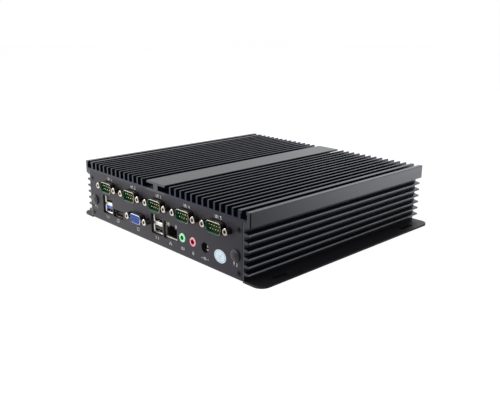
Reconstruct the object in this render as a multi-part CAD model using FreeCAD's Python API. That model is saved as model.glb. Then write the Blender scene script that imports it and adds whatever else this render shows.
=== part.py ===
import FreeCAD, Part
import math
import os

V = FreeCAD.Vector

# Folded sheet tray: floor, two ears, connector wall and rear wall
sheet = 1.6
bend_inner_radius = 0.4
bend_relief_width = 1.0
bend_relief_depth = 3.2
ear_reach = 12.3
ear_corner_radius = 8.0
ear_slot_length = 18.0
ear_slot_width = 5.0
ear_slot_edge = 7.5
ear_slot_inset = 26.6

# Main board on its standoffs
board_thickness = 1.6
board_depth = 170.0
board_setback = 1.5
board_side_gap = 1.1
board_rear_space = 38.5
standoff_height = 6.6
standoff_flats = 5.5
standoff_inset = 7.0
standoff_floor = 1.0

# Length by which a cut runs past the faces it opens
overcut = 1.0

# Screws, named by their places
screw_radius = 1.45
screw_gap = 0.05
hole_gap = 0.15
flat_head_radius = 2.3
flat_head_depth = 1.2
wall_screw_length = 8.0
pan_head_radius = 2.75
pan_head_height = 1.7
lid_head_radius = 2.1
lid_screw_length = 5.0
lid_screw_inset = 15.0
board_screw_length = 6.0
cross_length = 2.9
cross_width = 0.8
cross_depth = 0.9

# D-shaped ports: shell, flange, insert and pins
d_plug_width = 16.9
d_plug_height = 8.4
d_socket_width = 15.5
d_socket_height = 7.1
d_corner_radius = 2.4
d_side_slant = 10.0
d_shell = 0.35
d_rim_round = 0.3
d_shell_reach = 5.0
d_flange_end = 2.905
d_flange_height = 12.5
d_flange_thickness = 1.0
d_flange_corner = 1.6
d_body_width = 19.0
d_body_height = 10.4
d_body_depth = 9.0
d_plug_floor = 3.2
d_cup_wall = 0.5
d_cup_setback = 0.4
d_socket_floor = 0.2
d_pin_radius = 0.5
d_pin_pitch = 2.77
d_row_pitch = 2.84
d_pin_setback = 1.2
d_pin_root = 3.0
upper_pin_count = 5
lower_pin_count = 4
video_row_count = 3
video_column_count = 5
video_stagger = 0.25
video_hole_pitch = 2.29
video_row_pitch = 1.98
video_hole_radius = 0.45
video_hole_depth = 3.0
video_axis_height = 7.9
video_body_depth = 11.0

# Hexagonal jackscrews beside each D-shaped port
jackscrew_pitch = 24.99
jackscrew_flats = 5.0
jackscrew_reach = 5.0
jackscrew_stud_radius = 1.42
jackscrew_stud_length = 5.0
jackscrew_bore_radius = 1.45
jackscrew_bore_depth = 4.0
jackscrew_chamfer = 0.15

# Row of serial ports and its ribbons
serial_count = 5
serial_gap = 5.25
serial_end_space = 28.7
serial_shift = 3.6
serial_row_gap = 3.4
serial_top_space = 3.2
ribbon_width = 11.4
ribbon_thickness = 0.9
ribbon_bend_radius = 4.0
header_width = 20.2
header_depth = 8.8
header_height = 9.0
header_wall = 1.1
header_floor = 2.5
header_gap = 1.8
ribbon_socket_height = 9.5

# Lower row of ports, from the left end of the connector wall
port_setback = 0.4
cutout_gap = 0.4
insert_gap = 0.05
usb_end_space = 19.4
usb_width = 14.4
usb_height = 15.6
usb_depth = 17.5
usb_shell = 0.95
usb_lead_in = 0.7
usb_port_height = 5.1
usb_tongue_width = 11.2
usb_tongue_thickness = 2.25
usb_tongue_drop = 0.25
usb_tongue_setback = 0.7
usb_block_depth = 5.0
hdmi_space = 2.2
hdmi_width = 15.0
hdmi_height = 6.2
hdmi_depth = 11.0
hdmi_shell = 0.4
hdmi_corner_cut = 1.6
hdmi_tongue_width = 10.6
hdmi_tongue_thickness = 1.4
hdmi_tongue_setback = 1.0
hdmi_block_depth = 4.0
video_space = 10.6
second_usb_space = 1.4
lan_space = 2.5
lan_width = 16.6
lan_height = 13.3
lan_depth = 21.0
lan_shell = 0.3
lan_lip_width = 1.1
lan_lip_height = 1.2
lan_mouth_width = 11.9
lan_mouth_height = 7.2
lan_mouth_depth = 13.0
lan_mouth_rise = 1.7
lan_notch_width = 6.2
lan_notch_height = 1.9
lan_lamp_width = 4.2
lan_lamp_height = 3.0
lan_lamp_depth = 4.0
lan_contact_count = 8
lan_contact_pitch = 1.02
lan_contact_radius = 0.2
lan_contact_length = 8.0
lan_contact_lift = 2.0
audio_space = 2.0
audio_pitch = 12.7
audio_width = 10.6
audio_height = 10.4
audio_depth = 14.0
audio_axis_height = 5.7
audio_nose_radius = 3.6
audio_nose_gap = 0.2
audio_nose_proud = 0.5
audio_nose_round = 0.45
audio_bore_radius = 1.8
audio_bore_depth = 13.0
inlet_space = 4.3
inlet_width = 9.0
inlet_height = 10.5
inlet_depth = 14.0
inlet_axis_height = 5.0
inlet_window_radius = 4.1
inlet_bore_radius = 3.15
inlet_bore_depth = 10.0
inlet_pin_radius = 1.05
inlet_pin_setback = 0.8
inlet_pin_root = 2.0
inlet_leaf_width = 2.4
inlet_leaf_thickness = 0.8
inlet_leaf_gap = 0.1
inlet_leaf_setback = 0.2
inlet_leaf_chamfer = 0.5
label_space = 6.25
label_width = 12.9
label_height = 10.1
label_thickness = 0.15
label_centre_height = 12.9

# Plugs that close the two antenna holes
plug_edge = 6.3
plug_centre_height = 18.5
plug_radius = 4.5
plug_rim_height = 1.1
plug_dome_height = 1.0
plug_stem_radius = 3.1
plug_stem_gap = 0.15
plug_barb_radius = 3.7
plug_barb_thickness = 0.9

# Side heatsinks: wall, head, screw channels and lengthwise fins
side_wall = 2.5
side_head_width = 4.5
side_head_height = 4.0
side_head_gap = 0.1
wall_strip = 2.0
wall_edge_gap = 0.4
channel_offset = 2.4
channel_radius = 3.6
channel_rise = 4.3
channel_drop = 2.5
side_fin_count = 6
side_fin_pitch = 5.76
side_fin_first = 7.0
side_fin_reach = 4.9
side_fin_root = 2.8
side_fin_tip = 1.2
side_fin_round = 0.55

# Top heatsink: base, fins, middle strip and edge bands
base_thickness = 2.0
fin_height = 6.0
fin_thickness = 1.8
fin_pitch = 6.55
fin_first = 19.0
fin_round = 0.4
last_fin_space = 5.0
edge_fin_offset = 11.2
edge_fin_thickness = 2.6
lip_reach = 1.0
lip_height = 2.2
band_overhang = 1.2
band_thickness = 3.3
band_drop = 3.2
corner_cut = 0.7
strip_width = 24.5
strip_thickness = 1.8
strip_web = 5.8
strip_round = 0.5
pad_width = 72.0
pad_gap = 0.4

# Processor and its path of heat to the top heatsink
processor_width = 31.0
processor_length = 27.0
processor_height = 1.4
processor_y = 4.0
thermal_pad_size = 24.0
thermal_pad_thickness = 0.5
heat_block_size = 40.0
heat_block_flange_width = 64.0
heat_block_flange = 4.0
heat_block_screw_x = 27.0
heat_block_screw_y = 14.0
heat_block_screw_length = 7.0

# Memory, storage and clock cell on the board
memory_width = 67.6
memory_length = 30.0
card_thickness = 1.0
card_gap = 0.1
memory_insertion = 4.0
memory_lift = 2.6
memory_socket_height = 5.2
memory_socket_depth = 6.0
memory_arm_width = 3.0
memory_space = 3.0
memory_chip_count = 4
chip_thickness = 1.1
chip_length = 12.0
chip_width = 10.0
storage_width = 29.8
storage_length = 50.8
storage_insertion = 3.0
storage_socket_height = 5.0
storage_socket_depth = 7.0
storage_socket_overhang = 2.0
storage_lift = 2.4
storage_post_radius = 2.4
storage_post_inset = 3.4
storage_side_space = 6.2
storage_row_space = 20.0
storage_chip_count = 2
cell_radius = 10.0
cell_thickness = 3.2
cell_holder_wall = 1.2
cell_holder_floor = 1.0
cell_gap = 0.1
cell_space = 6.0

# Power button, switch body, nut and lamps on the rear wall
button_x = 66.0
button_height = 22.0
button_radius = 5.6
button_gap = 0.15
button_length = 5.0
button_proud = 1.4
button_travel = 1.0
button_stop_gap = 0.3
button_edge_round = 0.5
switch_barrel_radius = 7.9
switch_barrel_gap = 0.2
switch_barrel_length = 14.0
switch_bezel_radius = 9.6
switch_bezel_thickness = 1.6
switch_nut_flats = 19.0
switch_nut_thickness = 3.0
lamp_spacing = 12.0
lamp_first_space = 24.0
lamp_radius = 1.5
lamp_gap = 0.1
lamp_proud = 0.8
lamp_flange_radius = 2.3
lamp_flange_thickness = 1.2

# Outer sizes that follow from the rows of ports and the board
d_flange_width = jackscrew_pitch + 2 * d_flange_end
serial_pitch = d_flange_width + serial_gap
case_length = board_setback + board_depth + board_rear_space
end_in = case_length / 2
end_out = end_in + sheet
front_in = -end_in
front_out = -end_out
wall_half = (serial_count - 1) * serial_pitch / 2 + serial_end_space
side_out = wall_half + wall_strip
side_in = side_out - side_wall
case_half = side_out + side_fin_reach
ear_half = case_half + ear_reach
board_top = sheet + standoff_height + board_thickness
serial_z = board_top + usb_height + serial_row_gap + d_flange_height / 2
wall_height = serial_z + d_flange_height / 2 + serial_top_space
base_top = wall_height + base_thickness
fin_top = base_top + fin_height
lid_half = case_half + band_overhang
band_in = lid_half - band_thickness
band_bottom = wall_height - band_drop
head_bottom = wall_height - side_head_height
edge_fin_x = lid_half - edge_fin_offset
edge_fin_out = edge_fin_x + edge_fin_thickness / 2
channel_x = side_in - channel_offset
channel_low = sheet + channel_rise
channel_high = head_bottom - channel_drop
lid_screw_x = (edge_fin_out + band_in) / 2
lid_screw_y = end_in - lid_screw_inset
pad_bottom = wall_height - serial_top_space + pad_gap
board_half = channel_x - channel_radius - board_side_gap
board_front = front_in + board_setback
board_rear = board_front + board_depth
board_middle = (board_front + board_rear) / 2
port_front = front_in + port_setback

# Places along the lower row of ports
usb3_x = -wall_half + usb_end_space + usb_width / 2
hdmi_x = usb3_x + usb_width / 2 + hdmi_space + hdmi_width / 2
video_x = hdmi_x + hdmi_width / 2 + video_space + d_flange_width / 2
usb2_x = video_x + d_flange_width / 2 + second_usb_space + usb_width / 2
lan_x = usb2_x + usb_width / 2 + lan_space + lan_width / 2
audio_x = lan_x + lan_width / 2 + audio_space + audio_width / 2
microphone_x = audio_x + audio_pitch
inlet_x = microphone_x + audio_width / 2 + inlet_space + inlet_width / 2
label_x = inlet_x + inlet_width / 2 + label_space + label_width / 2
plug_x = wall_half - plug_edge
video_z = board_top + video_axis_height
audio_z = board_top + audio_axis_height
inlet_z = board_top + inlet_axis_height
serial_xs = [serial_shift + serial_pitch * (i - (serial_count - 1) / 2) for i in range(serial_count)]
header_y = port_front + lan_depth + header_gap + header_depth / 2

nodes = {}


def box(x0, x1, y0, y1, z0, z1):
    return Part.makeBox(x1 - x0, y1 - y0, z1 - z0, V(x0, y0, z0))


def rod_y(x, z, radius, y0, y1):
    return Part.makeCylinder(radius, y1 - y0, V(x, y0, z), V(0, 1, 0))


def rod_z(x, y, radius, z0, z1):
    return Part.makeCylinder(radius, z1 - z0, V(x, y, z0))


def in_xz(u, v):
    return V(u, 0, v)


def in_xy(u, v):
    return V(u, v, 0)


def in_yz(u, v):
    return V(0, u, v)


def outline(corners, place):
    """Flat face inside straight sides, with each corner (u, v, radius) rounded by its radius."""
    count = len(corners)
    turns = []
    for i in range(count):
        point = place(*corners[i][:2])
        back = (place(*corners[i - 1][:2]) - point).normalize()
        ahead = (place(*corners[(i + 1) % count][:2]) - point).normalize()
        radius = corners[i][2]
        half_angle = back.getAngle(ahead) / 2
        run = radius / math.tan(half_angle)
        middle = (back + ahead).normalize() * (radius / math.sin(half_angle) - radius)
        turns.append((point + back * run, point + middle, point + ahead * run, radius))
    edges = []
    for i in range(count):
        start, middle, end, radius = turns[i]
        if radius > 0:
            edges.append(Part.Arc(start, middle, end).toShape())
        following = turns[(i + 1) % count][0]
        if (following - end).Length > 1e-6:
            edges.append(Part.makeLine(end, following))
    return Part.Face(Part.Wire(edges))


def bar_y(corners, y0, y1):
    face = outline(corners, in_xz)
    face.translate(V(0, y0, 0))
    return face.extrude(V(0, y1 - y0, 0))


def plate_z(corners, z0, z1):
    face = outline(corners, in_xy)
    face.translate(V(0, 0, z0))
    return face.extrude(V(0, 0, z1 - z0))


def bar_x(corners, x0, x1):
    face = outline(corners, in_yz)
    face.translate(V(x0, 0, 0))
    return face.extrude(V(x1 - x0, 0, 0))


def rectangle(u0, u1, v0, v1, radius=0.0):
    return [(u0, v0, radius), (u1, v0, radius), (u1, v1, radius), (u0, v1, radius)]


def joined(pieces):
    return pieces[0].multiFuse(pieces[1:]).removeSplitter()


def less(solid, cuts):
    return solid.cut(Part.makeCompound(cuts))


def mirrored_x(shape):
    return shape.mirror(V(0, 0, 0), V(1, 0, 0))


def hexagon(centre_u, centre_v, across_flats):
    corner = across_flats / math.sqrt(3)
    points = []
    for k in range(6):
        angle = math.radians(60 * k + 30)
        points.append((centre_u + corner * math.cos(angle), centre_v + corner * math.sin(angle), 0.0))
    return points


def d_outline(x, z, width, height, grow):
    """D-shaped outline with its wide side up, grown evenly all round."""
    half = width / 2 + grow
    top = z + height / 2 + grow
    bottom = z - height / 2 - grow
    taper = (top - bottom) * math.tan(math.radians(d_side_slant))
    corner = d_corner_radius + grow
    return [
        (x - half, top, corner),
        (x + half, top, corner),
        (x + half - taper, bottom, corner),
        (x - half + taper, bottom, corner),
    ]


def cross_cuts(place, into):
    """Two crossing slots that make a cross recess, sunk from place along into."""
    cuts = []
    for length, width in ((cross_length, cross_width), (cross_width, cross_length)):
        slot = Part.makeBox(length, width, cross_depth, V(-length / 2, -width / 2, 0))
        slot.Placement = FreeCAD.Placement(place, FreeCAD.Rotation(V(0, 0, 1), into))
        cuts.append(slot)
    return cuts


def pan_screw(seat, into, length, head_radius):
    """Round-headed screw whose head sits on seat and whose shank runs along into."""
    crown = seat - into * pan_head_height
    head = Part.makeCylinder(head_radius, pan_head_height, crown, into)
    rim = [e for e in head.Edges if e.isClosed() and (e.CenterOfMass - crown).Length < 1e-6]
    head = head.makeFillet(pan_head_height / 2, rim)
    shank = Part.makeCylinder(screw_radius, length, seat, into)
    return less(joined([head, shank]), cross_cuts(crown, into))


def flat_screw(place, into, length):
    """Countersunk screw whose flat head lies level with place."""
    head = Part.makeCone(flat_head_radius, screw_radius, flat_head_depth, place, into)
    shank = Part.makeCylinder(screw_radius, length - flat_head_depth, place + into * flat_head_depth, into)
    return less(joined([head, shank]), cross_cuts(place, into))


def flat_screw_hole(place, into):
    """Countersunk hole through the sheet for a flat screw."""
    sink = Part.makeCone(
        flat_head_radius + hole_gap, screw_radius + hole_gap, flat_head_depth, place, into
    )
    return [sink, Part.makeCylinder(screw_radius + hole_gap, sheet, place, into)]


# Screw places that more than one piece shares
wall_screw_spots = []
for sign in (-1, 1):
    for side in (-1, 1):
        for z in (channel_low, channel_high):
            wall_screw_spots.append((V(side * channel_x, sign * end_out, z), V(0, -sign, 0)))
lid_screw_ys = (-lid_screw_y, 0.0, lid_screw_y)
standoff_spots = []
for x in (-board_half + standoff_inset, board_half - standoff_inset):
    for y in (board_front + standoff_inset, board_rear - standoff_inset):
        standoff_spots.append((x, y))
jackscrew_spots = []
for x, z in [(x, serial_z) for x in serial_xs] + [(video_x, video_z)]:
    jackscrew_spots.append((x - jackscrew_pitch / 2, z))
    jackscrew_spots.append((x + jackscrew_pitch / 2, z))
heat_block_spots = []
for x in (-heat_block_screw_x, heat_block_screw_x):
    for y in (-heat_block_screw_y, heat_block_screw_y):
        heat_block_spots.append((x, board_middle + processor_y + y))
lamp_xs = [button_x - lamp_first_space - lamp_spacing * i for i in range(2)]


def base_tray():
    """Floor, ears and both end walls, folded from one sheet."""
    outer = sheet + bend_inner_radius
    fold = bar_x(
        [
            (front_out, wall_height, 0.0),
            (front_out, 0.0, outer),
            (end_out, 0.0, outer),
            (end_out, wall_height, 0.0),
            (end_in, wall_height, 0.0),
            (end_in, sheet, bend_inner_radius),
            (front_in, sheet, bend_inner_radius),
            (front_in, wall_height, 0.0),
        ],
        -wall_half,
        wall_half,
    )
    ears = []
    for side in (-1, 1):
        ear = plate_z(
            [
                (side * wall_half, front_out, 0.0),
                (side * ear_half, front_out, ear_corner_radius),
                (side * ear_half, end_out, ear_corner_radius),
                (side * wall_half, end_out, 0.0),
            ],
            0.0,
            sheet,
        )
        ears.append(ear)
    cuts = []
    for side in (-1, 1):
        slot_x = side * (ear_half - ear_slot_edge)
        relief = sorted((side * wall_half, side * (wall_half + bend_relief_width)))
        for end in (-1, 1):
            slot_y = end * (end_out - ear_slot_inset)
            half_length = ear_slot_length / 2
            half_width = ear_slot_width / 2
            cuts.append(
                plate_z(
                    rectangle(
                        slot_x - half_width,
                        slot_x + half_width,
                        slot_y - half_length,
                        slot_y + half_length,
                        half_width,
                    ),
                    -overcut,
                    sheet + overcut,
                )
            )
            depth = sorted((end * end_out, end * (end_out - bend_relief_depth)))
            cuts.append(box(relief[0], relief[1], depth[0], depth[1], -overcut, sheet + overcut))
    for place, into in wall_screw_spots:
        cuts.extend(flat_screw_hole(place, into))
    cuts.extend(connector_wall_cuts())
    cuts.extend(rear_wall_cuts())
    return less(joined([fold] + ears), cuts)


def connector_wall_cuts():
    y0 = front_out - overcut
    y1 = front_in + overcut
    grow = d_shell + cutout_gap
    cuts = []
    for x in serial_xs:
        cuts.append(bar_y(d_outline(x, serial_z, d_plug_width, d_plug_height, grow), y0, y1))
    cuts.append(bar_y(d_outline(video_x, video_z, d_socket_width, d_socket_height, grow), y0, y1))
    for x, z in jackscrew_spots:
        cuts.append(rod_y(x, z, jackscrew_stud_radius + hole_gap, y0, y1))
    windows = [
        (usb3_x, usb_width, usb_height),
        (usb2_x, usb_width, usb_height),
        (hdmi_x, hdmi_width, hdmi_height),
        (lan_x, lan_width, lan_height),
    ]
    for x, width, height in windows:
        half = width / 2 + cutout_gap
        cuts.append(box(x - half, x + half, y0, y1, board_top - cutout_gap, board_top + height + cutout_gap))
    for x in (audio_x, microphone_x):
        cuts.append(rod_y(x, audio_z, audio_nose_radius + audio_nose_gap, y0, y1))
    cuts.append(rod_y(inlet_x, inlet_z, inlet_window_radius, y0, y1))
    for x in (-plug_x, plug_x):
        cuts.append(rod_y(x, plug_centre_height, plug_stem_radius + plug_stem_gap, y0, y1))
    return cuts


def rear_wall_cuts():
    y0 = end_in - overcut
    y1 = end_out + overcut
    cuts = [rod_y(button_x, button_height, switch_barrel_radius + switch_barrel_gap, y0, y1)]
    for x in lamp_xs:
        cuts.append(rod_y(x, button_height, lamp_radius + lamp_gap, y0, y1))
    return cuts


def upright_corner_cuts(x, z0, z1):
    """Wedges that take the sharp upright corners off both ends of a long face at x."""
    inward = -math.copysign(corner_cut, x)
    cuts = []
    for end in (-1, 1):
        y = end * end_out
        run = end * corner_cut
        corners = [(x + inward, y, 0.0), (x - inward, y + run, 0.0), (x, y - run, 0.0)]
        cuts.append(plate_z(corners, z0, z1))
    return cuts


def side_heatsink():
    """Right-hand side extrusion, standing on the tray, with its ends stepped back behind the end walls."""
    head_out = band_in - side_head_gap
    step = wall_half + wall_edge_gap
    pieces = [
        box(side_in, side_out, front_out, end_out, sheet, wall_height),
        box(head_out - side_head_width, head_out, front_out, end_out, head_bottom, wall_height),
    ]
    for z in (channel_low, channel_high):
        pieces.append(rod_y(channel_x, z, channel_radius, front_out, end_out))
    for i in range(side_fin_count):
        z = side_fin_first + side_fin_pitch * i
        fin = [
            (side_in + side_wall / 2, z - side_fin_root / 2, 0.0),
            (side_out, z - side_fin_root / 2, 0.0),
            (case_half, z - side_fin_tip / 2, side_fin_round),
            (case_half, z + side_fin_tip / 2, side_fin_round),
            (side_out, z + side_fin_root / 2, 0.0),
            (side_in + side_wall / 2, z + side_fin_root / 2, 0.0),
        ]
        pieces.append(bar_y(fin, front_out, end_out))
    cuts = upright_corner_cuts(case_half, sheet, wall_height)
    for z in (channel_low, channel_high):
        cuts.append(rod_y(channel_x, z, screw_radius + screw_gap, front_out - overcut, end_out + overcut))
    for y in lid_screw_ys:
        depth = lid_screw_length - base_thickness + screw_gap
        cuts.append(
            rod_z(lid_screw_x, y, screw_radius + screw_gap, wall_height - depth, wall_height + overcut)
        )
    channel_in = channel_x - channel_radius - overcut
    bend_top = sheet + bend_inner_radius
    for end in (-1, 1):
        y0, y1 = sorted((end * end_in, end * (end_out + overcut)))
        cuts.append(box(channel_in, step, y0, y1, 0.0, wall_height + overcut))
        y0, y1 = sorted((end * (end_in - bend_inner_radius), end * end_out))
        cuts.append(box(channel_in, step, y0, y1, 0.0, bend_top))
    return less(joined(pieces), cuts)


def top_heatsink():
    """Lid extrusion: fins to each side of a flat strip on a web, with hooked edge channels and bands."""
    bars = [rectangle(-band_in, band_in, wall_height, base_top)]
    bars.append(rectangle(-strip_web / 2, strip_web / 2, wall_height, fin_top - strip_thickness / 2))
    bars.append(rectangle(-strip_width / 2, strip_width / 2, fin_top - strip_thickness, fin_top, strip_round))
    fin_count = int((edge_fin_x - last_fin_space - fin_first) / fin_pitch) + 1
    for side in (-1, 1):
        for i in range(fin_count):
            x = side * (fin_first + fin_pitch * i)
            half = fin_thickness / 2
            bars.append(
                [
                    (x - half, wall_height, 0.0),
                    (x + half, wall_height, 0.0),
                    (x + half, fin_top, fin_round),
                    (x - half, fin_top, fin_round),
                ]
            )
        inner = side * (edge_fin_x - edge_fin_thickness / 2)
        outer = side * edge_fin_out
        lip = side * (edge_fin_out + lip_reach)
        bars.append(
            [
                (inner, wall_height, 0.0),
                (outer, wall_height, 0.0),
                (outer, fin_top - lip_height, 0.0),
                (lip, fin_top - lip_height, fin_round),
                (lip, fin_top, fin_round),
                (inner, fin_top, fin_round),
            ]
        )
        face = side * lid_half
        back = side * band_in
        lip = side * (band_in - lip_reach)
        bars.append(
            [
                (back, band_bottom, 0.0),
                (face, band_bottom, fin_round),
                (face, fin_top, fin_round),
                (lip, fin_top, fin_round),
                (lip, fin_top - lip_height, fin_round),
                (back, fin_top - lip_height, 0.0),
            ]
        )
    pieces = [bar_y(corners, front_out, end_out) for corners in bars]
    pieces.append(box(-pad_width / 2, pad_width / 2, front_in, end_in, pad_bottom, base_top))
    cuts = []
    for x in (-lid_half, lid_half):
        cuts.extend(upright_corner_cuts(x, band_bottom - overcut, fin_top + overcut))
    for x in (-lid_screw_x, lid_screw_x):
        for y in lid_screw_ys:
            cuts.append(rod_z(x, y, screw_radius + hole_gap, wall_height - overcut, base_top + overcut))
    for x, y in heat_block_spots:
        depth = heat_block_screw_length - heat_block_flange + screw_gap
        cuts.append(rod_z(x, y, screw_radius + screw_gap, pad_bottom - overcut, pad_bottom + depth))
    return less(joined(pieces), cuts)


nodes["base_tray"] = base_tray()
nodes["top_heatsink"] = top_heatsink()
right_heatsink = side_heatsink()
nodes["right_side_heatsink"] = right_heatsink
nodes["left_side_heatsink"] = mirrored_x(right_heatsink)
nodes["wall_screws"] = Part.makeCompound(
    [flat_screw(place, into, wall_screw_length) for place, into in wall_screw_spots]
)
nodes["lid_screws"] = Part.makeCompound(
    [
        pan_screw(V(x, y, base_top), V(0, 0, -1), lid_screw_length, lid_head_radius)
        for x in (-lid_screw_x, lid_screw_x)
        for y in lid_screw_ys
    ]
)

# Main board, screwed down on standoffs that are pressed into the tray's floor
board = box(-board_half, board_half, board_front, board_rear, board_top - board_thickness, board_top)
nodes["main_board"] = less(
    board,
    [rod_z(x, y, screw_radius + hole_gap, 0.0, board_top + overcut) for x, y in standoff_spots],
)
standoffs = []
for x, y in standoff_spots:
    post = plate_z(hexagon(x, y, standoff_flats), sheet, sheet + standoff_height)
    standoffs.append(less(post, [rod_z(x, y, screw_radius + screw_gap, sheet + standoff_floor, board_top)]))
nodes["board_standoffs"] = Part.makeCompound(standoffs)
nodes["board_screws"] = Part.makeCompound(
    [
        pan_screw(V(x, y, board_top), V(0, 0, -1), board_screw_length, pan_head_radius)
        for x, y in standoff_spots
    ]
)

# Processor, thermal pad and the block that carries heat up to the lid
heat_y = board_middle + processor_y
processor_top = board_top + processor_height
block_bottom = processor_top + thermal_pad_thickness
flange_bottom = pad_bottom - heat_block_flange
nodes["processor"] = box(
    -processor_width / 2,
    processor_width / 2,
    heat_y - processor_length / 2,
    heat_y + processor_length / 2,
    board_top,
    processor_top,
)
pad_half = thermal_pad_size / 2
nodes["thermal_pad"] = box(
    -pad_half, pad_half, heat_y - pad_half, heat_y + pad_half, processor_top, block_bottom
)
block_half = heat_block_size / 2
flange_half = heat_block_flange_width / 2
block = joined(
    [
        box(-block_half, block_half, heat_y - block_half, heat_y + block_half, block_bottom, pad_bottom),
        box(-flange_half, flange_half, heat_y - block_half, heat_y + block_half, flange_bottom, pad_bottom),
    ]
)
block_hole = screw_radius + hole_gap
nodes["heat_block"] = less(
    block,
    [rod_z(x, y, block_hole, flange_bottom - overcut, pad_bottom + overcut) for x, y in heat_block_spots],
)
nodes["heat_block_screws"] = Part.makeCompound(
    [
        pan_screw(V(x, y, flange_bottom), V(0, 0, 1), heat_block_screw_length, pan_head_radius)
        for x, y in heat_block_spots
    ]
)


def card(x, y0, width, length, lift, chips):
    """Plug-in card lying over the board, with its memory chips in a row."""
    z0 = board_top + lift
    z1 = z0 + card_thickness
    pieces = [box(x - width / 2, x + width / 2, y0, y0 + length, z0, z1)]
    for i in range(chips):
        chip_x = x + width / chips * (i - (chips - 1) / 2)
        chip_y = y0 + length / 2
        pieces.append(
            box(
                chip_x - chip_width / 2,
                chip_x + chip_width / 2,
                chip_y - chip_length / 2,
                chip_y + chip_length / 2,
                z1,
                z1 + chip_thickness,
            )
        )
    return joined(pieces)


def card_slot(x, y0, width, insertion, lift):
    z0 = board_top + lift - card_gap
    z1 = board_top + lift + card_thickness + card_gap
    half = width / 2 + card_gap
    return box(x - half, x + half, y0 - card_gap, y0 + insertion + overcut, z0, z1)


# Memory card held in a socket with two side arms
arm_in = memory_width / 2 + card_gap
arm_out = arm_in + memory_arm_width
socket_y = heat_y + block_half + memory_space
memory_y = socket_y + memory_socket_depth - memory_insertion
memory_bar = joined(
    [
        box(
            -arm_out,
            arm_out,
            socket_y,
            memory_y + memory_insertion,
            board_top,
            board_top + memory_socket_height,
        ),
        box(
            arm_in,
            arm_out,
            socket_y,
            memory_y + memory_length,
            board_top,
            board_top + memory_lift + card_thickness,
        ),
        box(
            -arm_out,
            -arm_in,
            socket_y,
            memory_y + memory_length,
            board_top,
            board_top + memory_lift + card_thickness,
        ),
    ]
)
nodes["memory_socket"] = less(
    memory_bar, [card_slot(0.0, memory_y, memory_width, memory_insertion, memory_lift)]
)
nodes["memory_card"] = card(0.0, memory_y, memory_width, memory_length, memory_lift, memory_chip_count)

# Storage card held in a socket at one end and on a post at the other
storage_half = storage_width / 2 + storage_socket_overhang
storage_x = -(arm_out + storage_side_space + storage_half)
storage_bar_front = header_y + header_depth / 2 + storage_row_space
storage_y = storage_bar_front + storage_socket_depth - storage_insertion
storage_bar = box(
    storage_x - storage_half,
    storage_x + storage_half,
    storage_bar_front,
    storage_bar_front + storage_socket_depth,
    board_top,
    board_top + storage_socket_height,
)
nodes["storage_socket"] = less(
    storage_bar, [card_slot(storage_x, storage_y, storage_width, storage_insertion, storage_lift)]
)
nodes["storage_card"] = card(
    storage_x, storage_y, storage_width, storage_length, storage_lift, storage_chip_count
)
nodes["storage_post"] = rod_z(
    storage_x,
    storage_y + storage_length - storage_post_inset,
    storage_post_radius,
    board_top,
    board_top + storage_lift,
)

# Clock cell in its round holder
holder_top = board_top + cell_holder_floor + cell_thickness / 2
holder_in = cell_radius + cell_gap
holder_out = holder_in + cell_holder_wall
holder_y = storage_y + storage_length + cell_space + holder_out
holder = rod_z(storage_x, holder_y, holder_out, board_top, holder_top)
nodes["cell_holder"] = less(
    holder, [rod_z(storage_x, holder_y, holder_in, board_top + cell_holder_floor, holder_top + overcut)]
)
nodes["clock_cell"] = rod_z(
    storage_x,
    holder_y,
    cell_radius,
    board_top + cell_holder_floor,
    board_top + cell_holder_floor + cell_thickness,
)


def d_shell_solid(x, z, width, height):
    """Drawn metal shell with its flange against the connector wall's inner face."""
    rim = front_out - d_shell_reach
    back = front_in + d_flange_thickness
    half_w = d_flange_width / 2
    half_h = d_flange_height / 2
    flange = bar_y(
        rectangle(x - half_w, x + half_w, z - half_h, z + half_h, d_flange_corner), front_in, back
    )
    collar = bar_y(d_outline(x, z, width, height, d_shell), rim, back)
    rim_edges = [e for e in collar.Edges if e.BoundBox.YMax < rim + d_rim_round]
    collar = collar.makeFillet(d_rim_round, rim_edges)
    mouth = bar_y(d_outline(x, z, width, height, 0.0), rim - overcut, back + overcut)
    stud_hole = jackscrew_stud_radius + hole_gap
    holes = [
        rod_y(x + side * jackscrew_pitch / 2, z, stud_hole, front_in - overcut, back + overcut)
        for side in (-1, 1)
    ]
    return less(joined([flange, collar]), [mouth] + holes)


def d_nose(x, z, width, height, floor):
    """Part of the moulded insert that fills the shell up to floor below the rim."""
    corners = d_outline(x, z, width, height, -insert_gap)
    return bar_y(corners, front_out - d_shell_reach + floor, front_in + d_flange_thickness)


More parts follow.
